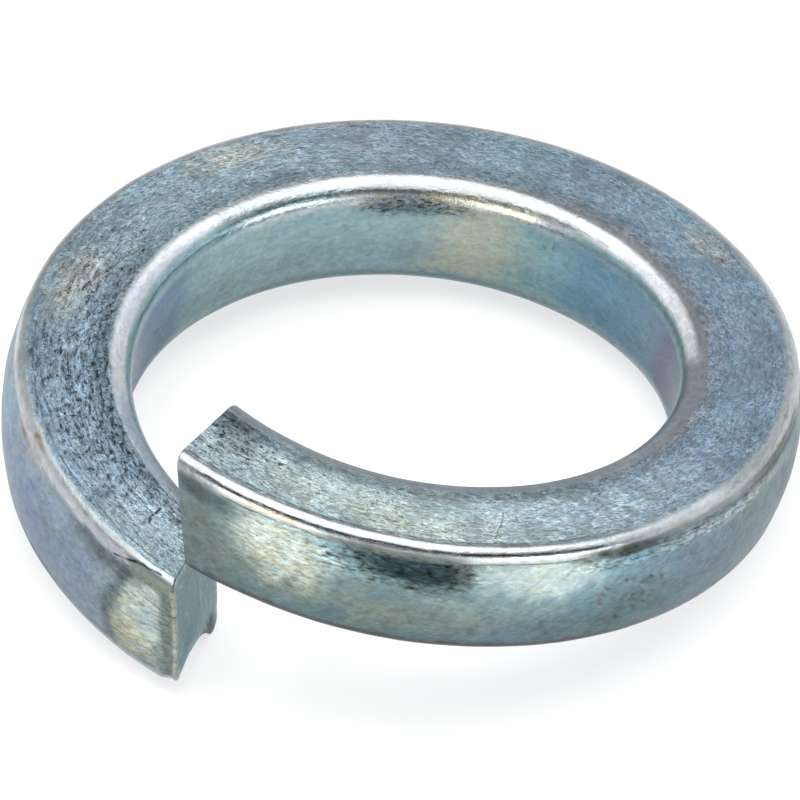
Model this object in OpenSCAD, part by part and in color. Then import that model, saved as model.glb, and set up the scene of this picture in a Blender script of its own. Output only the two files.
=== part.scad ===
// Spring lock washer: one turn of square wire, cropped from a coil and sprung open at the cut.
// Seen from above, the wire climbs clockwise from the low end to the high end, so that each
// end's corner digs in when a right-hand thread tries to work loose.
// The axis of the bore is Z, the split faces -Y and the lowest point lies at z = 0.

/* [Ring] */
// Diameter of the bore
bore_d = 10.5; // [10.2:0.05:10.8]
// Width of the wire across the ring, from the bore to the crest of the outer wall
wire_w = 2.44; // [2.2:0.02:2.8]
// Height of the wire along the axis
wire_h = 2.44; // [2.2:0.02:2.8]

/* [Edges] */
// Radius of the two outer edges
outer_edge_r = 0.26; // [0.15:0.01:0.4]
// Radius of the two edges of the bore
bore_edge_r = 0.46; // [0.3:0.01:0.6]
// Height of the crest of the outer wall above a line between its two edges
outer_crown = 0.14; // [0.06:0.01:0.2]

/* [Spring] */
// Clear height between the two ends where one passes over the other
end_clearance = 0.55; // [0.3:0.01:1]
// Share of the rise that comes from the ends being bent apart
end_kick = 0.12; // [0:0.01:0.25]
// Angle by which the two ends lap at the outer wall
lap = 1.9; // [0:0.1:4]

/* [Cut ends] */
// Lean of the low end's cut, from the radial towards the wire at the bore
low_lean = 14.4; // [4:0.2:18]
// Lean of the high end's cut, from the radial away from the wire at the bore
high_lean = 4.2; // [0:0.2:12]
// Tip of the low end's cut, its top edge towards the wire
low_tip = 9.2; // [0:0.2:16]
// Tip of the high end's cut, its top edge away from the wire
high_tip = 13.6; // [0:0.2:18]

/* [Marks of the cropping tool] */
// Length of the pressed patch on the outer wall at each end, as an angle
press_span = 12; // [8:0.5:20]
// Depth of the low end's pressed patch below the crest
low_press = 0.21; // [0:0.01:0.3]
// Depth of the high end's pressed patch below the crest
high_press = 0.13; // [0:0.01:0.3]
// Depth of the hollow that the blade left under the low end
hollow_depth = 0.46; // [0:0.02:0.6]
// Length of that hollow, as an angle
hollow_span = 10; // [6:0.5:16]
// Distance of the deepest part of the hollow from the outer wall
hollow_inset = 0.95; // [0.6:0.05:1.2]
// Width of the nib left between the hollow and the bore
nib_width = 0.4; // [0.2:0.05:0.6]
// Height by which the low end's outer lower corner is blunted
corner_blunt = 0.15; // [0:0.01:0.3]
// Length of that blunting, as an angle
blunt_span = 3; // [2:0.5:6]

/* [Hidden] */
zinc = [0.6, 0.66, 0.68];

bore_r = bore_d / 2;
outer_r = bore_r + wire_w;
edge_line_r = outer_r - outer_crown;
rise = wire_h + end_clearance;
turn = 360 + lap;

// The walls' facets: stations along each pressed end and along the wire between them,
// and points on each outer edge, each bore edge, the crowned wall and the underside
end_steps = 10;
wire_steps = 80;
outer_edge_steps = 4;
bore_edge_steps = 3;
crown_steps = 6;
underside_steps = 8;
bore_facets = 180;
// Angle by which a bore edge's arc stops short of the wall, where the round bore then cuts it
bore_trim = 12;
over = 1;

function smooth(x) = let (c = min(max(x, 0), 1)) c * c * (3 - 2 * c);
function arch(x) = sin(90 * min(max(x, 0), 1));
function arc_angles(first, last, steps) = [for (i = [0 : steps]) first + (last - first) * i / steps];
function between(steps) = [for (i = [1 : steps - 1]) i / steps];

// A section point is its radius, its height and its share of the outer wall's crown
function outer_edge(z, first) = [
    for (a = arc_angles(first, first + 90, outer_edge_steps))
        [edge_line_r - outer_edge_r + outer_edge_r * cos(a), z + outer_edge_r * sin(a), 0]
];
function outer_wall() = [
    for (t = between(crown_steps))
        [edge_line_r, outer_edge_r + (wire_h - 2 * outer_edge_r) * t, 1 - pow(2 * t - 1, 2)]
];
function bore_edge(z, first, last) = [
    for (a = arc_angles(first, last, bore_edge_steps))
        [bore_r + bore_edge_r + bore_edge_r * cos(a), z + bore_edge_r * sin(a), 0]
];
// Both bore edges run on in straight lines to one point inside the bore, at half height
function bore_stock() = let (
        fall = wire_h / 2 - bore_edge_r * (1 - sin(bore_trim)),
        trimmed_r = bore_r + bore_edge_r * (1 - cos(bore_trim))
    ) [[trimmed_r - fall * tan(bore_trim), wire_h / 2, 0]];
function underside() = let (first = bore_r + bore_edge_r, last = edge_line_r - outer_edge_r) [
    for (t = between(underside_steps)) [first + (last - first) * t, 0, 0]
];
section = concat(
    outer_edge(outer_edge_r, -90),
    outer_wall(),
    outer_edge(wire_h - outer_edge_r, 0),
    bore_edge(wire_h - bore_edge_r, 90, 180 - bore_trim),
    bore_stock(),
    bore_edge(bore_edge_r, 180 + bore_trim, 270),
    underside()
);
sides = len(section);

// Angle at which a flat cut, leaned and tipped about the outer wall, meets radius r at height z
function cut_angle(r, z, lean, tip) =
    asin((edge_line_r * sin(lean) + (z - wire_h / 2) * tan(tip) * cos(lean)) / r) - lean;
function low_end(p) = cut_angle(p[0], p[1], low_lean, low_tip);
function high_end(p) = turn + cut_angle(p[0], p[1], high_lean, high_tip);

// Places along the wire, from 0 at the low end to 1 at the high end, closer together at the ends
stations = concat(
    [for (i = [0 : end_steps]) press_span * i / end_steps],
    [for (i = [1 : wire_steps]) press_span + (turn - 2 * press_span) * i / wire_steps],
    [for (i = [1 : end_steps]) turn - press_span + press_span * i / end_steps]
) / turn;
last_station = len(stations) - 1;

// Height gained by the wire at an angle from the low end: a steady climb, and a kick at each end
function climb(angle) = let (u = angle / turn)
    rise * ((1 - end_kick) * u + end_kick * (pow(2 * u - 1, 3) + 1) / 2);
// Heights of the hollow and of the blunted corner at a distance inwards from the outer wall
function hollow(inset) = let (inner_end = edge_line_r - bore_r - nib_width)
    hollow_depth * arch(inset < hollow_inset ? inset / hollow_inset
                                             : (inner_end - inset) / (inner_end - hollow_inset));
function blunting(inset) = corner_blunt * (1 - smooth(inset / hollow_inset));
// Both fade out along the wire, and up its walls by half their height
function tool_mark(p, along) = let (inset = edge_line_r - p[0])
    (1 - smooth(2 * p[1] / wire_h))
    * (hollow(inset) * smooth(1 - along / hollow_span)
        + blunting(inset) * smooth(1 - along / blunt_span));

function ring_point(p, t) = let (
        first = low_end(p),
        last = high_end(p),
        angle = first + (last - first) * t,
        press = low_press * smooth(1 - (angle - first) / press_span)
            + high_press * smooth(1 - (last - angle) / press_span),
        r = p[0] + p[2] * (outer_crown - press),
        z = p[1] + climb(angle) + tool_mark(p, angle - first)
    ) [-r * sin(angle), -r * cos(angle), z];
function middle(points) = [for (k = [0 : 2]) [for (p = points) p[k]] * [for (p = points) 1] / len(points)];

module washer() {
    rings = [for (t = stations) [for (p = section) ring_point(p, t)]];
    lowest = min([for (ring = rings) for (p = ring) p[2]]);
    points = concat(
        [for (ring = rings) each ring],
        [middle(rings[0]), middle(rings[last_station])]
    );
    low_middle = len(points) - 2;
    high_middle = len(points) - 1;
    faces = concat(
        [for (i = [0 : last_station - 1]) for (j = [0 : sides - 1])
            let (k = (j + 1) % sides, a = i * sides, b = a + sides)
                each [[a + j, b + k, a + k], [a + j, b + j, b + k]]],
        [for (j = [0 : sides - 1]) [low_middle, j, (j + 1) % sides]],
        [for (j = [0 : sides - 1])
            [high_middle, last_station * sides + (j + 1) % sides, last_station * sides + j]]
    );
    color(zinc)
        difference() {
            translate([0, 0, -lowest]) polyhedron(points, faces);
            translate([0, 0, -over])
                cylinder(h = wire_h + rise + 2 * over, r = bore_r, $fn = bore_facets);
        }
}

washer();
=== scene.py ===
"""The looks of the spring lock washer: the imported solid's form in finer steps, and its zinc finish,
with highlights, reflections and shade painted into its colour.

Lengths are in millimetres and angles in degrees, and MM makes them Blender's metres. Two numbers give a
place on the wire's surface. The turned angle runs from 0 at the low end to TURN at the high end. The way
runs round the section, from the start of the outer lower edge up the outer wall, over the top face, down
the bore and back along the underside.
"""

import functools
import itertools
import math

import bpy
import numpy as np
from mathutils import Matrix, Vector


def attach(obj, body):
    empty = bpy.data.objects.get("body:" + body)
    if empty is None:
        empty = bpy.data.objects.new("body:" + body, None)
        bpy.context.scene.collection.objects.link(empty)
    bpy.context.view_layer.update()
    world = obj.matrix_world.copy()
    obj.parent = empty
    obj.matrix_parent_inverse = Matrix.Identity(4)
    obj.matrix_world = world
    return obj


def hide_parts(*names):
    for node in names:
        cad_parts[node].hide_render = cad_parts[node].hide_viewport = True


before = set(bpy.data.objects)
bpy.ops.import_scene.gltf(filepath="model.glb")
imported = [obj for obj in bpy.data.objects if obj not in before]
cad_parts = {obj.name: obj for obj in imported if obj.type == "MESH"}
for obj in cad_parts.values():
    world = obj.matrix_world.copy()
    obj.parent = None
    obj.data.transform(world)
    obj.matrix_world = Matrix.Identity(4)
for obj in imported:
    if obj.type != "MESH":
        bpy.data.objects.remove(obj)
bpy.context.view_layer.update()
MM = 0.001

# The part's own sizes
BORE_R = 5.25
WIRE_W = 2.44
WIRE_H = 2.44
OUTER_EDGE_R = 0.26
BORE_EDGE_R = 0.46
OUTER_CROWN = 0.14
END_CLEARANCE = 0.55
END_KICK = 0.12
LAP = 1.9
LOW_LEAN, LOW_TIP = 14.4, 9.2
HIGH_LEAN, HIGH_TIP = 4.2, 13.6
PRESS_SPAN = 12.0
LOW_PRESS, HIGH_PRESS = 0.21, 0.13
HOLLOW_DEPTH, HOLLOW_SPAN, HOLLOW_INSET = 0.46, 10.0, 0.95
NIB_WIDTH = 0.4
CORNER_BLUNT, BLUNT_SPAN = 0.15, 3.0
EDGE_LINE_R = BORE_R + WIRE_W - OUTER_CROWN
RISE = WIRE_H + END_CLEARANCE
TURN = 360 + LAP
MEAN_R = BORE_R + WIRE_W / 2
WIRE_LENGTH = math.radians(TURN) * MEAN_R

# The way at which each part of the section ends
LOW_EDGE_END = OUTER_EDGE_R * math.pi / 2
WALL_END = LOW_EDGE_END + WIRE_H - 2 * OUTER_EDGE_R
TOP_EDGE_END = WALL_END + LOW_EDGE_END
TOP_END = TOP_EDGE_END + EDGE_LINE_R - OUTER_EDGE_R - BORE_R - BORE_EDGE_R
BORE_EDGE_END = TOP_END + BORE_EDGE_R * math.pi / 2
BORE_END = BORE_EDGE_END + WIRE_H - 2 * BORE_EDGE_R
BORE_LOW_END = BORE_END + BORE_EDGE_R * math.pi / 2
ROUND = BORE_LOW_END + TOP_END - TOP_EDGE_END

# The scene's own sizes: the rounding of the cut edges, and where the points of the mesh lie
ARRIS = 0.035
ARRIS_TURNS = (90, 66, 44, 22, 0)
NEAR_END, NEAR_POINTS, MIDDLE_POINTS = 0.9, 20, 570
CAP_SHRINK = (0.86, 0.7, 0.55, 0.4, 0.27, 0.15, 0.06)
LATTICE_CELLS = 32


def smooth(x):
    x = np.clip(x, 0, 1)
    return x * x * (3 - 2 * x)


def window(x, low, high, soft):
    """1 from low to high, falling to 0 over soft on both sides."""
    return smooth((x - low) / soft + 0.5) * smooth((high - x) / soft + 0.5)


def noise(points, size, seed):
    """Smooth noise from -1 to 1, with features of about that size."""
    lattice = np.random.default_rng(seed).uniform(-1, 1, (LATTICE_CELLS,) * 3)
    scaled = points / size
    low = np.floor(scaled).astype(int)
    share = smooth(scaled - low)
    total = np.zeros(scaled.shape[:-1])
    for corner in itertools.product((0, 1), repeat=3):
        weight = np.prod(np.where(corner, share, 1 - share), axis=-1)
        i = (low + corner) % LATTICE_CELLS
        total += weight * lattice[i[..., 0], i[..., 1], i[..., 2]]
    return total


@functools.lru_cache
def section(inset):
    """Radius, height, share of the crown and way of each section point, drawn in by inset."""
    rows = []

    def arc(centre_r, centre_z, first, radius, way, steps):
        reach = radius - inset
        for i in range(steps):
            a = math.radians(first + 90 * i / steps)
            passed = radius * math.radians(90 * i / steps)
            rows.append((centre_r + reach * math.cos(a), centre_z + reach * math.sin(a), 0, way + passed))

    def line(r0, z0, r1, z1, way, steps, crowned=False):
        length = math.hypot(r1 - r0, z1 - z0)
        for i in range(steps):
            t = i / steps
            crown = (1 - (2 * t - 1) ** 2) * crowned
            rows.append((r0 + (r1 - r0) * t, z0 + (z1 - z0) * t, crown, way + length * t))

    e, b, h = OUTER_EDGE_R, BORE_EDGE_R, WIRE_H
    outer, inner = EDGE_LINE_R - inset, BORE_R + inset
    outer_centre, bore_centre = EDGE_LINE_R - e, BORE_R + b
    arc(outer_centre, e, -90, e, 0, 10)
    line(outer, e, outer, h - e, LOW_EDGE_END, 26, crowned=True)
    arc(outer_centre, h - e, 0, e, WALL_END, 12)
    line(outer_centre, h - inset, bore_centre, h - inset, TOP_EDGE_END, 26)
    arc(bore_centre, h - b, 90, b, TOP_END, 13)
    line(inner, h - b, inner, b, BORE_EDGE_END, 16)
    arc(bore_centre, b, 180, b, BORE_END, 11)
    line(bore_centre, inset, outer_centre, inset, BORE_LOW_END, 20)
    return np.array(rows).T


def cut_angle(r, z, lean, tip):
    """The angle at which a cut plane, leaned from the radial and tipped from the axis, is met."""
    lean, tip = math.radians(lean), math.radians(tip)
    along = EDGE_LINE_R * math.sin(lean) + (z - WIRE_H / 2) * math.tan(tip) * math.cos(lean)
    return np.degrees(np.arcsin(along / r) - lean)


def tool_mark(r, z, along):
    """Lift of the low end's underside by the cropping blade: a hollow, and a blunted outer corner."""
    inset = EDGE_LINE_R - r
    inner_end = EDGE_LINE_R - BORE_R - NIB_WIDTH
    falling = (inner_end - inset) / (inner_end - HOLLOW_INSET)
    share = np.where(inset < HOLLOW_INSET, inset / HOLLOW_INSET, falling)
    hollow = HOLLOW_DEPTH * np.sin(np.pi / 2 * np.clip(share, 0, 1))
    blunting = CORNER_BLUNT * (1 - smooth(inset / HOLLOW_INSET))
    lift = hollow * smooth(1 - along / HOLLOW_SPAN) + blunting * smooth(1 - along / BLUNT_SPAN)
    return (1 - smooth(2 * z / WIRE_H)) * lift


def place(r, z, crown, t):
    """Points at share t of the wire, before the lowest one is set on z = 0, and their angle."""
    first = cut_angle(r, z, LOW_LEAN, LOW_TIP)
    last = TURN + cut_angle(r, z, HIGH_LEAN, HIGH_TIP)
    angle = first + (last - first) * t
    low_press = LOW_PRESS * smooth(1 - (angle - first) / PRESS_SPAN)
    high_press = HIGH_PRESS * smooth(1 - (last - angle) / PRESS_SPAN)
    radius = r + crown * (OUTER_CROWN - (low_press + high_press))
    u = angle / TURN
    climb = RISE * ((1 - END_KICK) * u + END_KICK * ((2 * u - 1) ** 3 + 1) / 2)
    height = z + climb + tool_mark(r, z, angle - first)
    a = np.radians(angle)
    return np.stack([-radius * np.sin(a), -radius * np.cos(a), height], -1), angle


def normals(grid):
    along = np.gradient(grid, axis=0)
    around = np.roll(grid, -1, 1) - np.roll(grid, 1, 1)
    n = np.cross(around, along)
    return n / np.maximum(np.linalg.norm(n, axis=-1, keepdims=True), 1e-12)


# Places along the wire, closer together near both ends, and how far the section is drawn in at each
arris_turn = np.radians(ARRIS_TURNS)
arris_inset = ARRIS * (1 - np.cos(arris_turn))
near_end = np.linspace(ARRIS, NEAR_END, NEAR_POINTS)[1:]
low_part = np.concatenate([ARRIS * (1 - np.sin(arris_turn)), near_end])
middle_part = np.linspace(NEAR_END, WIRE_LENGTH - NEAR_END, MIDDLE_POINTS)[1:-1]
along_wire = np.concatenate([low_part, middle_part, WIRE_LENGTH - low_part[::-1]])
insets = np.zeros(len(along_wire))
insets[: len(arris_inset)] = arris_inset
insets[-len(arris_inset):] = arris_inset[::-1]

# Rings of points, each with its share of the wire, its inset and its size. The rings that are drawn
# together make the caps, which are the faces of the two cuts
rings = [(0.0, ARRIS, shrink) for shrink in reversed(CAP_SHRINK)]
rings += [(s / WIRE_LENGTH, inset, 1.0) for s, inset in zip(along_wire, insets)]
rings += [(1.0, ARRIS, shrink) for shrink in CAP_SHRINK]
points, angles, ways = [], [], []
for t, inset, shrink in rings:
    r, z, crown, way = section(inset)
    r = MEAN_R + (r - MEAN_R) * shrink
    z = WIRE_H / 2 + (z - WIRE_H / 2) * shrink
    ring_points, ring_angles = place(r, z, crown * shrink, t)
    points.append(ring_points)
    angles.append(ring_angles)
    ways.append(way)
P, ANGLE, WAY = np.array(points), np.array(angles), np.array(ways)
n_rings, n_round = WAY.shape
T = np.repeat([[ring[0]] for ring in rings], n_round, 1)
SHRINK = np.repeat([[ring[2]] for ring in rings], n_round, 1)
FROM_LOW = T * WIRE_LENGTH
TURNED = T * TURN
CAPS = len(CAP_SHRINK)
P[..., 2] -= P[CAPS:-CAPS, :, 2].min()
NORMAL = normals(P)

# The zones of the surface, 1 inside and 0 outside, with borders that waver a little
wobble = noise(P, 0.35, 3) * 0.03 + noise(P, 0.12, 4) * 0.02
wavy_way = WAY + wobble
on_body = (SHRINK > 0.99).astype(float)
cut = 1 - on_body
top_start = TOP_EDGE_END + 0.02 - 0.09 * smooth((115 - TURNED) / 30)
top = window(wavy_way, top_start, TOP_END - 0.02, 0.1) * on_body
under = smooth((wavy_way - BORE_LOW_END) / 0.1 + 0.5) * on_body
flat = np.maximum(top, under)
wall = window(wavy_way, LOW_EDGE_END - 0.02, WALL_END, 0.1) * on_body
bore = window(wavy_way, BORE_EDGE_END - 0.05, BORE_END + 0.05, 0.25) * on_body

# Fine relief along the surface's normal, weaker on the bore and on the cuts
relief = 0.006 * noise(P, 1.6, 11) + 0.004 * noise(P, 0.7, 12)
relief += flat * (0.006 * noise(P, 0.28, 13) + 0.005 * noise(P, 0.15, 14))
relief += wall * (0.004 * noise(P, 0.45, 15) + 0.003 * noise(P, 0.2, 16))
relief += (1 - flat) * (1 - wall) * on_body * 0.002 * noise(P, 0.3, 17)
relief *= (1 - 0.8 * bore) * np.where(SHRINK < 1, 0.4, 1)

# Small pits, by turned angle, way, width, depth and stain: brown ones on the front wall, near the high
# end, and then a few single ones of one depth
FRONT_PITS, SINGLE_DEPTH, PIT_RING_R = 44, 0.01, EDGE_LINE_R - 0.4
random = np.random.default_rng(7)
pits = [
    (
        random.uniform(286, 298), random.uniform(0.7, 1.65), random.uniform(0.04, 0.09),
        random.uniform(0.006, 0.015), random.uniform(0.5, 0.95),
    )
    for _ in range(FRONT_PITS)
]
for at_angle, at_way, width, stain in (
    (359.2, 2.47, 0.08, 0.8), (204.3, 3.11, 0.12, 0.9), (216, 2.9, 0.09, 0.6), (174, 5.3, 0.1, 0.7),
    (297, 4.2, 0.11, 0.5), (343, 4.3, 0.11, 0.5), (327, 4.1, 0.09, 0.5), (317.6, 0.75, 0.12, 0.6),
    (343.8, 1.05, 0.12, 0.5), (292.6, 3.95, 0.12, 0.5), (247, 2.62, 0.09, 0.5), (236, 2.66, 0.08, 0.5),
    (70, 5.4, 0.1, 0.5), (76, 5.9, 0.1, 0.5),
):
    pits.append((at_angle, at_way, width, SINGLE_DEPTH, stain))
dirt = np.zeros(WAY.shape)
for at_angle, at_way, width, depth, stain in pits:
    d2 = (np.radians(TURNED - at_angle) * PIT_RING_R) ** 2 + (WAY - at_way) ** 2
    relief -= depth * np.exp(-d2 / (width / 2) ** 2) * on_body
    dirt = np.maximum(dirt, stain * np.exp(-d2 / (width / 1.6) ** 2) * on_body)

# The burr along the outer edge of the low end's cut, and the nib beside the bore
BURR_REACH, BURR_MIDDLE, BURR_WIDTH = 0.3, 0.02, 0.028
BURR_HEIGHT, JAG_HEIGHT = 0.012, 0.03
NIB_LENGTH, NIB_FILL, NIB_DROP = 0.3, 0.045, 0.03
LOWEST = -0.06
jag = 0.5 + 0.5 * noise(np.stack([WAY, WAY * 0, WAY * 0], -1), 0.11, 21)
burr = window(WAY, 0.1, WALL_END + 0.1, 0.1) * (FROM_LOW < BURR_REACH) * on_body
burr *= np.exp(-((FROM_LOW - BURR_MIDDLE) / BURR_WIDTH) ** 2)
relief += burr * (BURR_HEIGHT + JAG_HEIGHT * jag)
near_low_end = np.exp(-(FROM_LOW / NIB_LENGTH) ** 2)
relief += NIB_FILL * window(WAY, BORE_END + 0.25, BORE_LOW_END - 0.05, 0.3) * on_body * near_low_end
nib = window(WAY, BORE_END + 0.28, BORE_LOW_END + 0.12, 0.3) * near_low_end
P = P + NORMAL * relief[..., None]
P[..., 2] -= NIB_DROP * nib * np.where(SHRINK > 0.8, SHRINK, 0)
P[..., 2] = np.maximum(P[..., 2], LOWEST)


def with_middles(values):
    """A row for each ring point, and then one for the middle point of each cap."""
    rings_of_rows = values.reshape(n_rings, n_round, -1)
    rows = rings_of_rows.reshape(n_rings * n_round, -1)
    return np.concatenate([rows, rings_of_rows[:1].mean(1), rings_of_rows[-1:].mean(1)])


# The mesh: quads between the rings, and a fan of triangles round the middle of each cap
faces = []
for i in range(n_rings - 1):
    for j in range(n_round):
        k = (j + 1) % n_round
        faces.append((i * n_round + j, i * n_round + k, (i + 1) * n_round + k, (i + 1) * n_round + j))
last_ring, low_middle = (n_rings - 1) * n_round, n_rings * n_round
for j in range(n_round):
    k = (j + 1) % n_round
    faces.append((low_middle, k, j))
    faces.append((low_middle + 1, last_ring + j, last_ring + k))
mesh = bpy.data.meshes.new("washer_zinc")
mesh.from_pydata((with_middles(P) * MM).tolist(), [], faces)
mesh.update()
washer = bpy.data.objects.new("washer_zinc", mesh)
bpy.context.scene.collection.objects.link(washer)
for polygon in mesh.polygons:
    polygon.use_smooth = True


def attribute(name, values, kind="FLOAT", field="value"):
    """Gives the mesh's points values that the material reads by name."""
    layer = mesh.attributes.new(name, kind, "POINT")
    layer.data.foreach_set(field, with_middles(values).astype(np.float32).ravel())


attribute("wire", np.stack([FROM_LOW, WAY, np.zeros_like(WAY)], -1), "FLOAT_VECTOR", "vector")
attribute("flat", flat)
attribute("wall", wall)
attribute("cut", cut)
attribute("burr", burr * (0.4 + 0.6 * jag))

# The coat's colour, laid zone by zone and mark by mark; among the marks are painted highlights, painted
# reflections and painted shade
BLUE = np.array((0.215, 0.325, 0.385))
TEAL = np.array((0.185, 0.300, 0.325))
VIOLET = np.array((0.270, 0.310, 0.400))
STEEL = np.array((0.385, 0.415, 0.430))
PALE = np.array((0.420, 0.480, 0.450))
SAND = np.array((0.355, 0.382, 0.322))
RUST = np.array((0.100, 0.065, 0.050))
blot_edge = 0.6 * noise(P, 0.8, 31) + 0.5 * noise(P, 0.25, 32)
coat_and_painted_light = np.ones(P.shape) * STEEL


def spot(at_angle, at_way, long, wide, soft=0.5):
    """A blot at a turned angle and a way, of that half length in degrees and half width."""
    d = np.hypot((TURNED - at_angle) / long, (WAY - at_way) / wide)
    return smooth((1 + 0.5 * blot_edge - d) / soft + 0.5) * on_body


def band(low, high, soft=0.08):
    """A band between two ways, all along the wire."""
    return window(WAY + 0.5 * wobble, low, high, soft) * on_body


def run(low, high, soft):
    """A length of wire between two turned angles, with uneven borders."""
    return window(TURNED + 3 * blot_edge, low, high, soft)


def stretch(low, high, soft):
    """A length of wire between two turned angles, with even borders."""
    return window(TURNED, low, high, soft)


def lay(mask, colour, factor=1.0):
    """Covers the coat with a colour, as far as the mask goes."""
    coat_and_painted_light[:] = coat_and_painted_light + (np.asarray(colour) * factor - coat_and_painted_light) * np.clip(mask, 0, 1)[..., None]


def tone(mask, factor):
    """Makes the coat that much darker or lighter."""
    coat_and_painted_light[:] = coat_and_painted_light * (1 + (factor - 1) * np.clip(mask, 0, 1))[..., None]


def tint(mask, colour):
    """Multiplies the coat by a colour."""
    coat_and_painted_light[:] = coat_and_painted_light * (1 + (np.asarray(colour) - 1) * np.clip(mask, 0, 1)[..., None])


# Ground colours, and the cuts: painted light makes them lighter towards the bottom, and painted shade
# darkens the tip of the nib
NIB_R, NIB_Z = BORE_R + 0.45, 0.12
lay(wall, TEAL)
lay(wall * smooth(0.5 + 1.2 * noise(P, 2.6, 33)), BLUE)
lay(bore, TEAL, 0.95)
lay(flat, BLUE)
lay(flat * smooth(0.5 + 1.2 * noise(P, 1.9, 34)) * 0.4, VIOLET, 0.9)
lay(cut, (0.124, 0.198, 0.215))
tone(cut * smooth((1.2 - P[..., 2]) / 0.8), 1.25)
from_nib = np.hypot((P[..., 2] - NIB_Z) / 0.38, (NIB_R - np.hypot(P[..., 0], P[..., 1])) / 0.5)
tone(cut * (T < 0.5) * smooth(2.2 * (0.9 - from_nib)), 0.3)

# Top face
tone(top, 0.86)
lay(top * spot(318, 3.3, 50, 1.5, 1.0) * 0.8, (0.345, 0.425, 0.445))
tone(top * spot(228, 3.5, 58, 1.5, 1.0), 0.88)
tone(top * spot(50, 3.5, 28, 1.5, 1.0), 0.86)
lay(top * spot(4, 3.1, 11, 1.1, 0.9) * 0.6, (0.33, 0.41, 0.44))
tone(top * band(3.95, 4.6, 0.5), 0.74)
for at in ((68, 3.2, 8, 0.35), (320, 3.0, 12, 0.3), (335, 3.4, 16, 0.4)):
    lay(top * spot(*at, 1.4) * 0.45, SAND, 1.02)
lay(top * spot(225, 4.25, 65, 0.25, 0.8) * 0.7, (0.22, 0.235, 0.26), 0.9)
tone(top * spot(355, 4.1, 6, 0.5, 0.9), 0.75)
tone(top * band(4.05, 4.6, 0.25) * run(270, 380, 20), 0.75)
tone(top * spot(252, 3.1, 30, 0.5, 0.9), 0.85)
tone(top * band(2.5, 3.25, 0.3), 0.88)
tone(top * spot(150, 3.3, 36, 0.9, 0.9), 0.86)
tone(top * run(341, 380, 10), 0.84)
tone(top * spot(34, 2.95, 12, 0.3, 0.9), 1.2)
tone(top * spot(358, 4.0, 5, 0.4, 0.9), 0.7)
tone(top * band(3.85, 4.4, 0.3), 0.86)
lay(top * spot(240, 3.4, 55, 1.0, 1.0) * 0.35, (0.190, 0.265, 0.375))
tint(top * spot(108, 3.6, 40, 1.5, 1.0), (1.13, 1.0, 0.97))
for *at, factor in (
    (75, 3.0, 22, 0.3, 0.9), (92, 3.5, 12, 0.5, 0.86), (350, 4.05, 8, 0.3, 1.35),
    (140, 4.1, 12, 0.3, 1.15), (300, 4.0, 20, 0.3, 1.06),
):
    tone(top * spot(*at, 0.9), factor)
lay(top * spot(114, 3.1, 8, 0.30, 1.2) * 0.65, (0.300, 0.310, 0.280))
lay(top * spot(201, 3.1, 7, 0.28, 1.0) * 0.65, (0.255, 0.270, 0.250))

# Outer wall. At the low end the flat that was pressed into it ends in a curved border
lay(wall * spot(20, 1.6, 30, 2.2, 0.9) * 0.8, (0.255, 0.295, 0.34), 0.95)
lay(wall * spot(45, 0.9, 25, 1.2, 0.9) * 0.75, (0.165, 0.225, 0.335))
press_end = 11.9 - 2.6 * np.maximum(WAY - 0.9, 0) ** 2 + 0.6 * blot_edge
pressed = wall * stretch(-2, press_end, 1.6)
lay(pressed * 0.95, (0.255, 0.310, 0.285))
lay(pressed * spot(5.8, 1.6, 3.0, 0.95, 0.8) * 0.9, PALE, 1.12)
lay(pressed * spot(8.0, 0.85, 2.8, 0.4, 0.9) * 0.7, (0.44, 0.45, 0.33))
tone(wall * stretch(0.4, 2.9 - 0.8 * np.abs(WAY - 1.7), 1.0), 0.66)
tone(wall * stretch(press_end - 0.6, press_end + 1.7, 1.5), 0.60)
# Painted shade: the lower part of the outer wall darker from the right side round to the high end
tone(wall * smooth((TURNED - 240) / 20) * smooth(2.1 - WAY), 0.66)
# Painted reflections on the front wall: pale patches of reflected light, and between them a dark patch of
# reflected shade
lay(wall * spot(344.5, 1.75, 8, 0.6, 1.1) * 0.95, PALE, 1.1)
lay(wall * spot(344, 1.5, 11, 0.8, 1.2) * 0.3, (0.44, 0.42, 0.27))
lay(wall * spot(307, 2.05, 10.5, 0.42, 1.1), (0.42, 0.50, 0.49))
tone(wall * spot(325, 2.18, 10.5, 0.40, 0.7), 0.32)
tone(wall * spot(322.5, 1.95, 6.5, 0.34, 0.8), 0.5)
lay(wall * spot(359, 1.4, 6, 1.4, 0.9) * 0.8, (0.165, 0.200, 0.190))
# Painted shade: a dark strip under the upper edge near the high end
tone(wall * spot(357, 2.2, 6, 0.25, 0.9), 0.6)
lay(wall * spot(326, 0.9, 12, 0.4, 1.2) * 0.45, (0.20, 0.205, 0.155), 0.85)
lay(wall * spot(272, 1.4, 12, 0.9, 1.1) * 0.5, VIOLET, 0.62)
lay(wall * spot(258, 1.8, 9, 0.7, 1.1) * 0.5, SAND, 0.65)
tone(wall, 0.85)
# Painted reflected light: the front wall made lighter round the pale patches and low down
tone(wall * spot(307, 1.75, 13, 0.7, 0.9), 1.28)
tone(wall * spot(325, 1.1, 24, 0.5, 0.9), 1.2)
lay(wall * spot(321, 1.2, 17, 0.5, 1.0) * 0.45, (0.190, 0.225, 0.205))
tone(wall * spot(342, 1.8, 9, 0.6, 0.9), 1.15)
tone(wall * run(190, 246, 18), 0.8)
lay(wall * run(212, 266, 14) * 0.7, (0.108, 0.172, 0.195))
# Painted shade beneath the upper edge's highlight, near the low end
tone(wall * spot(13, 2.25, 6, 0.28, 0.8), 0.55)
tone(wall * spot(244, 1.5, 12, 0.6, 0.9), 0.72)
# Painted reflected light along the front wall
tone(wall * spot(303, 1.35, 24, 0.35, 0.9), 1.18)
tone(wall * band(1.6, 2.33, 0.4) * run(13, 60, 14), 1.15)

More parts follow.
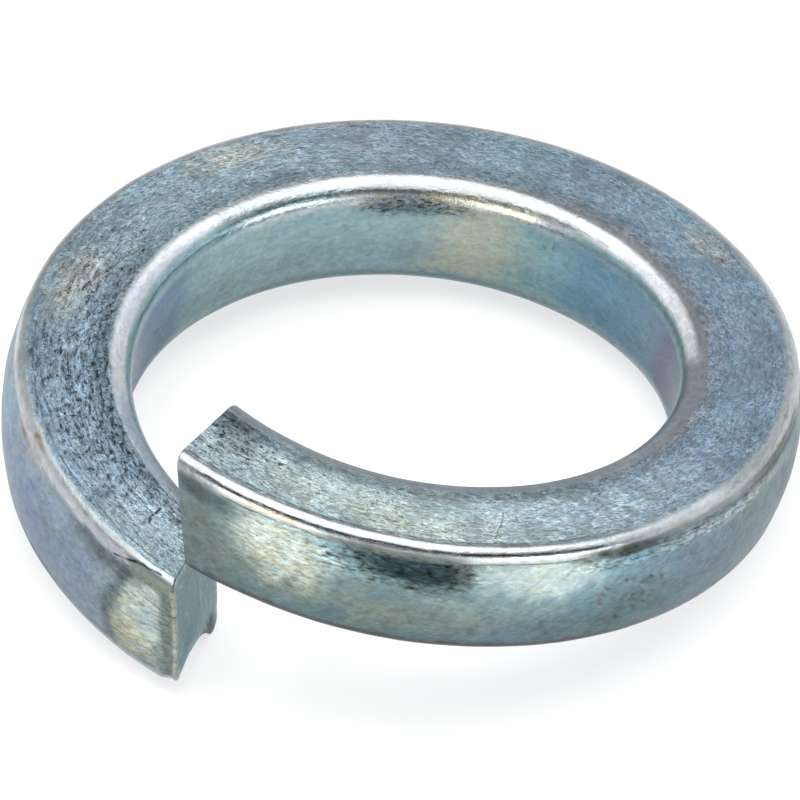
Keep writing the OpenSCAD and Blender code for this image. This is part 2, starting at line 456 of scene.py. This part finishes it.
# Bore
lay(bore * spot(158, 5.9, 9, 1.2, 1.5) * 0.8, (0.31, 0.335, 0.27), 0.95)
tone(bore * run(30, 72, 12), 0.8)
tone(bore * spot(122, 5.7, 50, 1.7, 0.9), 1.2)
lay(bore * run(45, 85, 14) * 0.5, (0.14, 0.225, 0.285))
lay(bore * stretch(178, 262, 16) * 0.85, (0.112, 0.215, 0.305))
lay(bore * spot(246, 6.0, 32, 1.8, 1.6) * 0.45, (0.150, 0.180, 0.290))
lay(bore * spot(52, 6.0, 20, 1.8, 1.2) * 0.75, (0.125, 0.165, 0.265))
tint(bore * spot(122, 5.8, 34, 1.8, 1.0), (1.10, 1.0, 0.99))
tint(bore * spot(74, 5.9, 13, 1.9, 0.9), (0.58, 0.69, 0.87))
tone(bore * spot(84, 6.2, 16, 0.5, 0.9), 0.88)
tone(bore * stretch(222, 250, 12), 0.82)
lay(bore * spot(217.5, 5.9, 5, 1.3, 1.0) * 0.6, (0.175, 0.160, 0.31), 0.85)
tone(bore * stretch(212, 252, 15), 0.66)
# Painted shade: the bore darker towards its bottom
tone(bore * band(5.9, 8, 0.8), 0.82)

# Rounded edges: the bore's upper one first, with its long painted highlights and some painted shade
edges = np.clip(on_body - flat - wall - bore, 0, 1)
low_outer, low_bore = edges * (WAY < 0.8), edges * (WAY > 6.3)
upper_outer, upper_bore = edges * (WAY > 2) * (WAY < 3.5), edges * (WAY > 3.9) * (WAY < 6)
tone(edges, 0.92)
# Painted shade dims the bore's upper edge on the far side; painted highlights then run along it in bands
tone(upper_bore * spot(140, 4.45, 42, 0.3, 0.9), 0.8)
lay(upper_bore * band(4.7, 4.95, 0.08) * run(143, 167, 6) * 0.7, (0.60, 0.58, 0.44))
lay(upper_bore * band(4.48, 4.76, 0.1) * run(178, 300, 8) * run(100, 229, 26), (0.66, 0.68, 0.71))
tone(upper_bore * band(4.3, 4.48, 0.1) * run(172, 231, 8), 0.6)
lay(upper_bore * band(4.78, 5.1, 0.1) * run(178, 262, 12) * 0.9, TEAL, 1.1)
lay(upper_bore * band(4.0, 4.8, 0.12) * run(232, 272, 6) * 0.8, (0.17, 0.195, 0.22))
# Painted shade on the upper outer edge: its highlight dimmed at the high end and narrowed along the front
tone(upper_outer * run(355, 370, 4), 0.8)
tone(upper_outer * band(2.67, 2.85, 0.06) * run(284, 375, 10), 0.55)
# Painted highlight along the bore's upper edge
lay(upper_bore * band(4.36, 4.64, 0.1) * run(14, 96, 14) * 0.8, (0.54, 0.56, 0.62))
lay(upper_bore * band(4.3, 4.75, 0.1) * run(-20, 38, 14) * 0.85, (0.25, 0.30, 0.36))
lay(upper_bore * band(4.64, 5.1, 0.1) * run(14, 125, 14) * 0.8, TEAL, 1.3)
# Painted highlight on the bore's upper edge
lay(upper_bore * band(4.76, 4.98, 0.1) * run(104, 138, 10) * 0.7, (0.62, 0.62, 0.60))
lay(upper_bore * band(4.0, 4.38, 0.12) * run(150, 270, 20) * 0.8, (0.20, 0.20, 0.215))

# The rim, where the outer wall meets its upper edge: the rust blot, painted highlights, and dark streaks
# of painted shade
rim = wall + upper_outer
mottled = 0.45 + 0.55 * smooth(0.5 + 1.5 * noise(P, 0.12, 35))
lay(wall * band(2.0, 2.28, 0.15) * run(251, 285, 8) * mottled * 0.5, (0.38, 0.43, 0.42))
lay(rim * spot(36, 2.40, 6.5, 0.2, 0.9) * 0.4, (0.56, 0.53, 0.42))
# Painted shade: a dark spot at the end of the long streak
lay(rim * spot(293, 2.33, 7.5, 0.11, 0.8) * mottled * 0.95, (0.050, 0.055, 0.050))
for at in ((34.5, 2.47, 2.4, 0.12), (37.3, 2.37, 2.4, 0.13), (38.8, 2.27, 2.2, 0.08)):
    lay(rim * spot(*at) * mottled, (0.190, 0.145, 0.095))
# Painted highlights and painted shade on the upper outer edge: lighter where it shines, darker where its
# highlight is dimmed
lay(upper_outer * band(2.2, 2.5, 0.1) * run(8, 62, 10) * 0.7, (0.55, 0.55, 0.60))
tone(upper_outer * band(2.56, 2.8, 0.1) * run(-20, 26, 10), 0.8)
tone(upper_outer * band(2.5, 2.75, 0.1) * run(62, 98, 12), 0.76)
tone(upper_outer * band(2.52, 2.75, 0.1) * run(270, 302, 8), 1.4)
tone(upper_outer * run(8, 55, 8), 0.82)
# Painted shade: dark streaks under the upper outer edge's highlight, at the low end and along the right
# of the front
low_end_painted_shade = band(2.2, 2.56, 0.07) * window(TURNED + blot_edge, -5, 9.0, 2.0)
lay(rim * low_end_painted_shade * 0.8, (0.150, 0.190, 0.160))
long_painted_shade = band(2.2, 2.47, 0.1) * run(242, 293, 8) * (0.92 - 0.42 * stretch(262, 286, 12))
lay(rim * long_painted_shade, (0.050, 0.052, 0.050))
# Painted highlights: a second bright band under the upper outer edge
lay(rim * band(2.34, 2.47, 0.06) * run(299, 317, 4) * 0.8, (0.70, 0.72, 0.72))
lay(rim * band(2.34, 2.47, 0.06) * run(338, 354, 5) * 0.8, (0.64, 0.60, 0.50))
lay(rim * spot(346, 2.44, 5, 0.04, 0.8) * 0.6, (0.50, 0.37, 0.22))
# Painted shade under the second band
lay(rim * band(2.28, 2.43, 0.06) * run(319, 336, 5) * 0.75, (0.105, 0.120, 0.105))

# The bore's upper edge at both ends, the lower edges, which face the floor and are darkened as painted
# shade, and a patch of painted shade under the bore's upper edge
at_ends = np.maximum(run(272, 380, 16), run(-30, 12, 8))
lay(upper_bore * band(4.1, 4.6, 0.12) * at_ends * 0.85, (0.175, 0.205, 0.235))
tone(low_outer * smooth((TURNED - 5) / 30), 0.42)
tone(edges * smooth((0.3 - WAY) / 0.15) * stretch(-5, 24, 8), 0.55)
tone(low_outer * np.maximum(stretch(26, 70, 10), smooth((TURNED - 285) / 15)), 0.5)
lay(low_bore, TEAL, 0.8)
tone(low_bore * run(80, 238, 8), 0.78)
tone((edges + under) * window(WAY, 7.05, 7.75, 0.15) * stretch(-4, 2.5, 2), 0.28)
shade_under_bore_rim = spot(141, 5.03, 11, 0.2, 0.9) * (WAY > 4.7)
tone(shade_under_bore_rim, 0.42)
lay(dirt, RUST)
attribute("coat_and_painted_light", np.concatenate([coat_and_painted_light, np.ones((*WAY.shape, 1))], -1), "FLOAT_COLOR", "color")

# Where the grain is coarse, strong or speckled, and how matt the surface is
coarse_spots = spot(38, 3.75, 38, 0.9, 1.1) + spot(356, 3.8, 9, 0.8, 0.9)
attribute("coarse", np.clip(coarse_spots, 0, 1) * flat)
contrast = 1 - 0.25 * spot(190, 3.5, 60, 1.8, 1.0) + 0.3 * spot(22, 4.05, 45, 0.35, 0.8)
attribute("contrast", contrast - 0.15 * spot(25, 2.9, 50, 0.35, 0.8))
speckled = 0.9 * spot(326, 2.1, 13, 0.5, 0.9) + 0.4 * spot(344, 1.7, 11, 0.9, 0.9)
speckled += 0.35 * spot(6, 1.4, 8, 1.4, 0.9) + 0.7 * run(262, 300, 9) * band(2.0, 2.5)
attribute("speckle", wall * np.clip(speckled, 0, 1) + shade_under_bore_rim)
matt = 0.25 + 0.20 * flat + 0.16 * wall + 0.12 * bore + 0.20 * cut
matt += 0.14 * upper_bore * (1 - run(95, 178, 10))
matt += upper_outer * (0.08 * run(0, 70, 10) + 0.10 * run(225, 285, 8))
attribute("matt", matt + 0.3 * dirt)

# The surface's map, a square of this side: two strips of wire, one above the other, and then the caps
MAP_SIDE = 21.5
STRIP_X, STRIP_Y, NEXT_STRIP = 0.4, 0.2, 9.2
LOW_CAP_X, HIGH_CAP_X, CAP_Y, CAP_MAP_R = 3.0, 9.0, 19.6, 1.5
QUAD_CORNERS = ((0, 0), (0, 1), (1, 1), (1, 0))


def way_at(j):
    """The way of a section point, and the whole way round for the point after the last one."""
    return WAY[0, j] if j < n_round else ROUND


def cap_place(cap_x, size, at_way):
    a = 2 * math.pi * at_way / ROUND
    return cap_x + size * CAP_MAP_R * math.cos(a), CAP_Y + size * CAP_MAP_R * math.sin(a)


map_places = []
for i in range(n_rings - 1):
    in_cap = i < CAPS or i >= n_rings - 1 - CAPS
    cap_x = LOW_CAP_X if i < CAPS else HIGH_CAP_X
    in_second = ANGLE[i].mean() > TURN / 2
    strip_start, strip_y = (TURN / 2, STRIP_Y + NEXT_STRIP) if in_second else (0, STRIP_Y)
    for j in range(n_round):
        for di, dj in QUAD_CORNERS:
            if in_cap:
                map_places.append(cap_place(cap_x, SHRINK[i + di, 0], way_at(j + dj)))
            else:
                along = math.radians(ANGLE[i + di, (j + dj) % n_round] - strip_start) * MEAN_R
                map_places.append((STRIP_X + along, strip_y + way_at(j + dj)))
for j in range(n_round):
    for cap_x, order in ((LOW_CAP_X, (1, 0)), (HIGH_CAP_X, (0, 1))):
        map_places.append((cap_x, CAP_Y))
        map_places.extend(cap_place(cap_x, CAP_SHRINK[-1], way_at(j + dj)) for dj in order)
uv = mesh.uv_layers.new(name="OFBake")
uv.data.foreach_set("uv", (np.array(map_places) / MAP_SIDE).astype(np.float32).ravel())


class Graph:
    """Short ways to make and join the nodes of one tree."""

    def __init__(self, tree):
        self.tree = tree

    def node(self, kind, **settings):
        n = self.tree.nodes.new(kind)
        for key, value in settings.items():
            setattr(n, key, value)
        return n

    def put(self, socket, value):
        if isinstance(value, bpy.types.NodeSocket):
            self.tree.links.new(value, socket)
        elif hasattr(socket.default_value, "__len__") and not hasattr(value, "__len__"):
            socket.default_value = [value] * len(socket.default_value)
        else:
            socket.default_value = value

    def math(self, operation, a, b=0.0, clamp=False):
        n = self.node("ShaderNodeMath", operation=operation, use_clamp=clamp)
        self.put(n.inputs[0], a)
        self.put(n.inputs[1], b)
        return n.outputs[0]

    def add(self, *values):
        return functools.reduce(lambda a, b: self.math("ADD", a, b), values)

    def mul(self, a, b):
        return self.math("MULTIPLY", a, b)

    def swing(self, value, amount):
        """A value from 0 to 1, centred on 0 and made that strong."""
        return self.mul(self.add(value, -0.5), amount)

    def span(self, value, low, high, to_low=0.0, to_high=1.0):
        n = self.node("ShaderNodeMapRange", interpolation_type="SMOOTHSTEP")
        for socket, v in zip(n.inputs[:5], (value, low, high, to_low, to_high)):
            self.put(socket, v)
        return n.outputs[0]

    def attribute(self, name, output="Fac"):
        return self.node("ShaderNodeAttribute", attribute_name=name).outputs[output]

    def vector(self, operation, a, b, output="Vector"):
        n = self.node("ShaderNodeVectorMath", operation=operation)
        self.put(n.inputs[0], a)
        self.put(n.inputs[1], b)
        return n.outputs[output]

    def scaled(self, vector, x, y, z):
        return self.vector("MULTIPLY", vector, (x, y, z))

    def object_place(self):
        """The place on the object in millimetres."""
        return self.scaled(self.node("ShaderNodeTexCoord").outputs["Object"], 1 / MM, 1 / MM, 1 / MM)

    def noise(self, vector, scale, detail, roughness, distortion=0.0, output=0):
        n = self.node("ShaderNodeTexNoise")
        self.put(n.inputs["Vector"], vector)
        n.inputs["Scale"].default_value = scale
        n.inputs["Detail"].default_value = detail
        n.inputs["Roughness"].default_value = roughness
        n.inputs["Distortion"].default_value = distortion
        return n.outputs[output]

    def wire_noise(self, at, along, across, detail, roughness, distortion=0.0):
        """Noise on the unrolled wire, with one scale along the wire and one round the section."""
        return self.noise(self.scaled(at, along, across, 1), 1.0, detail, roughness, distortion)

    def stroke(self, at, first, last, half):
        """1 on a straight line drawn on the unrolled wire, 0 beyond its width."""
        length = np.linalg.norm(last - first)
        heading = (last - first) / length
        away = self.vector("SUBTRACT", at, first)
        along = self.vector("DOT_PRODUCT", away, heading, "Value")
        reach = self.math("MINIMUM", self.math("MAXIMUM", along, 0.0), length)
        foot = self.node("ShaderNodeVectorMath", operation="SCALE")
        foot.inputs[0].default_value = heading
        self.put(foot.inputs["Scale"], reach)
        gap = self.vector("DISTANCE", away, foot.outputs[0], "Value")
        return self.span(gap, half * 1.6, half * 0.4)

    def mix(self, factor, a, b, blend="MIX"):
        n = self.node("ShaderNodeMix", data_type="RGBA", blend_type=blend)
        self.put(n.inputs[0], factor)
        for socket, colour in ((n.inputs[6], a), (n.inputs[7], b)):
            self.put(socket, colour if isinstance(colour, bpy.types.NodeSocket) else (*colour, 1))
        return n.outputs[2]


# The material: the zinc's own colour and grain, with painted highlights, reflections and shade in its
# base colour
material = bpy.data.materials.new("zinc_plate_and_painted_light")
material.use_nodes = True
material.node_tree.nodes.clear()
g = Graph(material.node_tree)
output = g.node("ShaderNodeOutputMaterial")
shader = g.node("ShaderNodeBsdfPrincipled")
g.put(output.inputs[0], shader.outputs[0])
here = g.object_place()
wire_at = g.attribute("wire", "Vector")
is_flat, is_wall, is_cut = (g.attribute(name) for name in ("flat", "wall", "cut"))
coarse, speckle = g.attribute("coarse"), g.attribute("speckle")


def by_coarse(value_on_fine, value_on_coarse):
    return g.span(coarse, 0.0, 1.0, value_on_fine, value_on_coarse)


# Thin dark lines: turned angle and way of the start and of the end, half width, and strength. They waver
# and break up, and WAVER_MEAN is how far the waver moves them on average
# The lines along the rounded edges are painted shade beside their highlights
WAVER, WAVER_MEAN = 0.10, np.array((0.0491, 0.05, 0))
LINES = (
    (295, 2.52, 358, 2.52, 0.02, 0.75), (95, 4.71, 186, 4.70, 0.02, 0.3),
    (1.5, 2.70, 7.0, 2.67, 0.014, 0.6), (2.5, 2.58, 7.0, 2.52, 0.022, 0.85),
    (7.0, 2.52, 11.5, 2.33, 0.022, 0.85), (307, 3.69, 311, 2.94, 0.015, 0.5),
    (9.6, 3.44, 10.2, 3.56, 0.03, 0.95), (10.2, 3.60, 9.8, 3.86, 0.026, 0.95),
    (244, 2.63, 262, 2.50, 0.012, 0.22), (4, 2.81, 60, 2.81, 0.02, 0.4),
    (288, 2.79, 361, 2.79, 0.022, 0.5), (45, 4.80, 100, 4.80, 0.02, 0.4),
    (299, 2.31, 317, 2.31, 0.012, 0.5), (337, 2.33, 354, 2.33, 0.014, 0.5),
)
waver = g.scaled(g.noise(wire_at, 3.0, 3.0, 0.5, output="Color"), WAVER, WAVER, 0)
line_at = g.vector("ADD", wire_at, waver)
broken = g.span(g.wire_noise(wire_at, 2.5, 7.0, 2, 0.6), 0.36, 0.52)
lines = 0.0
for start_angle, start_way, end_angle, end_way, half, strength in LINES:
    line_start = np.array((math.radians(start_angle) * MEAN_R, start_way, 0)) + WAVER_MEAN
    line_end = np.array((math.radians(end_angle) * MEAN_R, end_way, 0)) + WAVER_MEAN
    mark = g.stroke(line_at, line_start, line_end, half)
    lines = g.math("MAXIMUM", lines, g.mul(mark, strength))
lines = g.mul(lines, g.span(broken, 0.0, 1.0, 0.45, 1.0))

# The noises that the grain is made of
lace_at = g.wire_noise(wire_at, 4.0, 6.5, 3, 0.68, 1.4)
lace_gap = g.math("ABSOLUTE", g.add(lace_at, -0.5))
lace = g.math("SUBTRACT", 1.0, g.mul(lace_gap, 12.0), clamp=True)
dashes = g.wire_noise(wire_at, 6.0, 15.0, 2, 0.6, 0.5)
long_dashes = g.wire_noise(wire_at, 2.4, 11.0, 3, 0.68, 0.7)
# Painted glints: small white dots on the flats
glint_dots = g.span(g.wire_noise(wire_at, 6.0, 7.0, 1, 0.5, 0.4), 0.60, 0.72)
speck = g.wire_noise(wire_at, 10.0, 14.0, 2, 0.6)
dark_pits = g.span(g.wire_noise(wire_at, 3.8, 5.6, 3, 0.68, 1.6), 0.46, 0.36)
mottle = g.noise(here, 3.0, 3, 0.6)
fine = g.noise(here, 9.0, 2, 0.6)
clouds = g.noise(here, 0.8, 2, 0.5)
patchy = g.noise(here, 1.5, 2, 0.6, 0.4)
strokes = g.wire_noise(wire_at, 4.0, 8.0, 3, 0.65, 1.0)
DRAWN_ANGLE = 35
turned_wire = g.node("ShaderNodeVectorRotate", rotation_type="Z_AXIS")
g.put(turned_wire.inputs["Vector"], wire_at)
turned_wire.inputs["Angle"].default_value = math.radians(DRAWN_ANGLE)
drawn = g.wire_noise(turned_wire.outputs[0], 3.0, 12.0, 2, 0.6, 0.6)
shear = g.noise(g.scaled(here, 7.0, 7.0, 0.9), 1.0, 2, 0.6)
cut_specks = g.span(g.noise(here, 6.5, 1, 0.5), 0.63, 0.73)

# Grain: a lace of thin bright lines and dark pits on the flats, softer strokes on the walls and the
# rounded edges, and fine streaks down the cuts
lace_share = g.mul(by_coarse(0.75, 1.15), g.span(patchy, 0.36, 0.62, 0.25, 1.0))
flat_grain = g.add(
    g.mul(lace_share, g.add(lace, -0.3)),
    g.swing(dashes, by_coarse(1.7, 1.4)),
    g.swing(long_dashes, by_coarse(0.5, 3.2)),
    g.mul(glint_dots, by_coarse(0.45, 0.15)),
    g.swing(patchy, 0.7),
    g.mul(dark_pits, by_coarse(-0.18, -0.75)),
)
flat_grain = g.mul(flat_grain, g.attribute("contrast"))
speckles = g.mul(speckle, g.swing(dashes, 4.0))
wall_grain = g.add(
    g.swing(strokes, g.span(speckle, 0.0, 1.0, 0.9, 2.2)),
    g.swing(mottle, 0.6),
    g.swing(drawn, 0.55),
    g.swing(speck, 0.6),
    speckles,
)
bore_grain = g.add(g.swing(strokes, 0.95), speckles)
cut_grain = g.add(g.swing(fine, 0.5), g.swing(mottle, 0.3), g.swing(shear, 0.6), g.mul(cut_specks, 0.4))
not_cut = g.math("SUBTRACT", 1.0, is_cut, clamp=True)
is_rest = g.math("SUBTRACT", not_cut, g.math("MAXIMUM", is_flat, is_wall), clamp=True)
zone_grains = ((is_flat, flat_grain), (is_wall, wall_grain), (is_rest, bore_grain), (is_cut, cut_grain))
grain = g.add(*(g.mul(zone, zone_grain) for zone, zone_grain in zone_grains))

# Colour: the coat, shaded by the grain and the lines, a little warmer or cooler by patches, and the
# cream burr over it
DARKEST = 0.15
WARM, COOL, CREAM = (1.13, 1.02, 0.83), (0.86, 1.0, 1.12), (0.43, 0.40, 0.32)
shade = g.add(1.0, grain, g.swing(clouds, 0.3))
shade = g.mul(shade, g.math("SUBTRACT", 1.0, g.mul(lines, not_cut)))
shade = g.math("MAXIMUM", shade, DARKEST)
colour = g.mix(1.0, g.attribute("coat_and_painted_light", "Color"), shade, "MULTIPLY")
hue = g.wire_noise(wire_at, 3.0, 5.0, 2, 0.6, 0.8)
hue_share = g.mul(not_cut, g.add(0.4, g.mul(speckle, 0.6)))
colour = g.mix(g.mul(hue_share, g.span(hue, 0.52, 0.68)), colour, WARM, "MULTIPLY")
colour = g.mix(g.mul(hue_share, g.span(hue, 0.48, 0.32)), colour, COOL, "MULTIPLY")
burr_share = g.mul(g.attribute("burr"), g.span(fine, 0.43, 0.54, 0.1, 1.0))
g.put(shader.inputs["Base Color"], g.mix(burr_share, colour, CREAM))
shader.inputs["Metallic"].default_value = 1.0

# Roughness and bump
SMOOTHEST, ROUGHEST, BUMP_HEIGHT = 0.12, 0.9, 0.008
rough = g.add(g.attribute("matt"), g.swing(speck, 0.25))
rough = g.math("MINIMUM", g.math("MAXIMUM", rough, SMOOTHEST), ROUGHEST)
g.put(shader.inputs["Roughness"], rough)
bump = g.node("ShaderNodeBump")
g.put(bump.inputs["Height"], grain)
bump.inputs["Strength"].default_value = 1.0
bump.inputs["Distance"].default_value = BUMP_HEIGHT * MM
g.put(shader.inputs["Normal"], bump.outputs[0])
mesh.materials.append(material)
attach(washer, "root")
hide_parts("washer")

# The camera, at the photograph's viewing angle
FRAME_PIXELS = 800
PIXELS_PER_MM = 51.728
CAMERA_AZIMUTH, CAMERA_ELEVATION, CAMERA_ROLL = 28.70, 38.57, 8.705
CAMERA_DISTANCE = 364.4
AIM_HEIGHT, AIM_RIGHT, AIM_UP = 2.7, -0.0602, -0.1298
SENSOR = 36.0
CLIP_START, CLIP_END = 0.01, 5
az, el, roll = (math.radians(x) for x in (CAMERA_AZIMUTH, CAMERA_ELEVATION, CAMERA_ROLL))
level_right = Vector((math.cos(az), math.sin(az), 0))
back = Vector((math.sin(az) * math.cos(el), -math.cos(az) * math.cos(el), math.sin(el)))
level_up = back.cross(level_right)
camera_right = level_right * math.cos(roll) + level_up * math.sin(roll)
camera_up = level_up * math.cos(roll) - level_right * math.sin(roll)
target = Vector((0, 0, AIM_HEIGHT)) + camera_right * AIM_RIGHT + camera_up * AIM_UP
camera_place = Matrix.Translation((target + back * CAMERA_DISTANCE) * MM)
camera_turn = Matrix((camera_right, camera_up, back)).transposed().to_4x4()
camera_data = bpy.data.cameras.new("camera")
camera_data.sensor_width = SENSOR
camera_data.lens = PIXELS_PER_MM * CAMERA_DISTANCE * SENSOR / FRAME_PIXELS
camera_data.clip_start = CLIP_START
camera_data.clip_end = CLIP_END
camera = bpy.data.objects.new("camera", camera_data)
bpy.context.scene.collection.objects.link(camera)
camera.matrix_world = camera_place @ camera_turn
bpy.context.scene.camera = camera

# The floor, on the plane that the washer comes to rest on
FLOOR_UP = Vector((-0.0664, -0.1040, 0.9924)).normalized()
FLOOR_R, FLOOR_SIDES = 400, 96
PAPER_DARK, PAPER_PALE, PAPER_ROUGH, PAPER_GLOW = (0.30,) * 3, (0.32,) * 3, 0.9, 0.68
floor_middle = FLOOR_UP * float((P.reshape(-1, 3) @ np.array(FLOOR_UP)).min())
floor_x = FLOOR_UP.orthogonal().normalized()
floor_y = FLOOR_UP.cross(floor_x)
floor_corners = []
for a in np.linspace(0, 2 * math.pi, FLOOR_SIDES, endpoint=False):
    outwards = floor_x * math.cos(a) + floor_y * math.sin(a)
    floor_corners.append((floor_middle + outwards * FLOOR_R) * MM)
floor_mesh = bpy.data.meshes.new("floor")
floor_mesh.from_pydata(floor_corners, [], [list(range(FLOOR_SIDES))])
floor = bpy.data.objects.new("floor", floor_mesh)
bpy.context.scene.collection.objects.link(floor)
paper = bpy.data.materials.new("floor_paper")
paper.use_nodes = True
paper_graph = Graph(paper.node_tree)
paper_shader = paper.node_tree.nodes["Principled BSDF"]
fibre = paper_graph.noise(paper_graph.object_place(), 0.4, 2, 0.5)
paper_colour = paper_graph.mix(paper_graph.span(fibre, 0.3, 0.7), PAPER_DARK, PAPER_PALE)
paper_graph.put(paper_shader.inputs["Base Color"], paper_colour)
paper_shader.inputs["Roughness"].default_value = PAPER_ROUGH
paper_shader.inputs["Emission Color"].default_value = (1, 1, 1, 1)
paper_shader.inputs["Emission Strength"].default_value = PAPER_GLOW
floor_mesh.materials.append(paper)

# The light: a large soft box over the floor
BOX_HEIGHT, BOX_SIZE, BOX_RADIANCE = 800, 1150, 2.8
box_data = bpy.data.lights.new("soft_box", "AREA")
box_data.shape = "DISK"
box_data.size = BOX_SIZE * MM
box_data.energy = BOX_RADIANCE * math.pi * math.pi * (BOX_SIZE * MM / 2) ** 2
box = bpy.data.objects.new("soft_box", box_data)
box.location = FLOOR_UP * BOX_HEIGHT * MM
box.rotation_euler = FLOOR_UP.to_track_quat("Z", "Y").to_euler()
bpy.context.scene.collection.objects.link(box)

# The pale room round it. Elevations are above the part's own level, and azimuths start at the camera's
world = bpy.data.worlds.new("room")
world.use_nodes = True
bpy.context.scene.world = world
sky = Graph(world.node_tree)
background = world.node_tree.nodes["Background"]
direction = sky.node("ShaderNodeTexCoord").outputs["Generated"]


def sin(degrees):
    return math.sin(math.radians(degrees))


def cos(degrees):
    return math.cos(math.radians(degrees))


def facing(azimuth, elevation):
    """How far a direction of the room agrees with this one."""
    turned = CAMERA_AZIMUTH + azimuth
    aim = (sin(turned) * cos(elevation), -cos(turned) * cos(elevation), sin(elevation))
    return sky.vector("DOT_PRODUCT", direction, aim, "Value")


def panel(azimuth, elevation, edge, core):
    """1 within core degrees of a direction, 0 beyond edge degrees."""
    return sky.span(facing(azimuth, elevation), cos(edge), cos(core))


def between(low, high, at_low=0.0, at_high=1.0):
    """A value that changes from one elevation to another."""
    return sky.span(height, sin(low), sin(high), at_low, at_high)


HORIZON, UPPER, OVERHEAD_MORE = 1.15, 0.78, 0.25
SIDE_MORE, GAP_LESS, LEFT_PANEL, FRONT_PANE = 0.35, -0.72, 0.6, 2.5
height = sky.vector("DOT_PRODUCT", direction, (0, 0, 1), "Value")
radiance = sky.add(between(8, 28, HORIZON, UPPER), between(40, 62, 0.0, OVERHEAD_MORE))
radiance = sky.mul(radiance, sky.add(1.0, sky.mul(facing(90, 0), SIDE_MORE)))
dark_gap = sky.mul(between(18, 27), sky.span(facing(0, 0), 0.0, 0.35))
radiance = sky.mul(radiance, sky.add(1.0, sky.mul(dark_gap, GAP_LESS)))
radiance = sky.add(radiance, sky.mul(panel(-92, 28, 44, 30), LEFT_PANEL))
for azimuth in (-28, 52):
    pane = sky.mul(panel(azimuth, 6, 24, 14), between(24, 18))
    radiance = sky.add(radiance, sky.mul(pane, FRONT_PANE))
sky.put(background.inputs["Strength"], radiance)
background.inputs["Color"].default_value = (0.97, 0.985, 1.0, 1)
bpy.context.scene.view_settings.view_transform = "Standard"
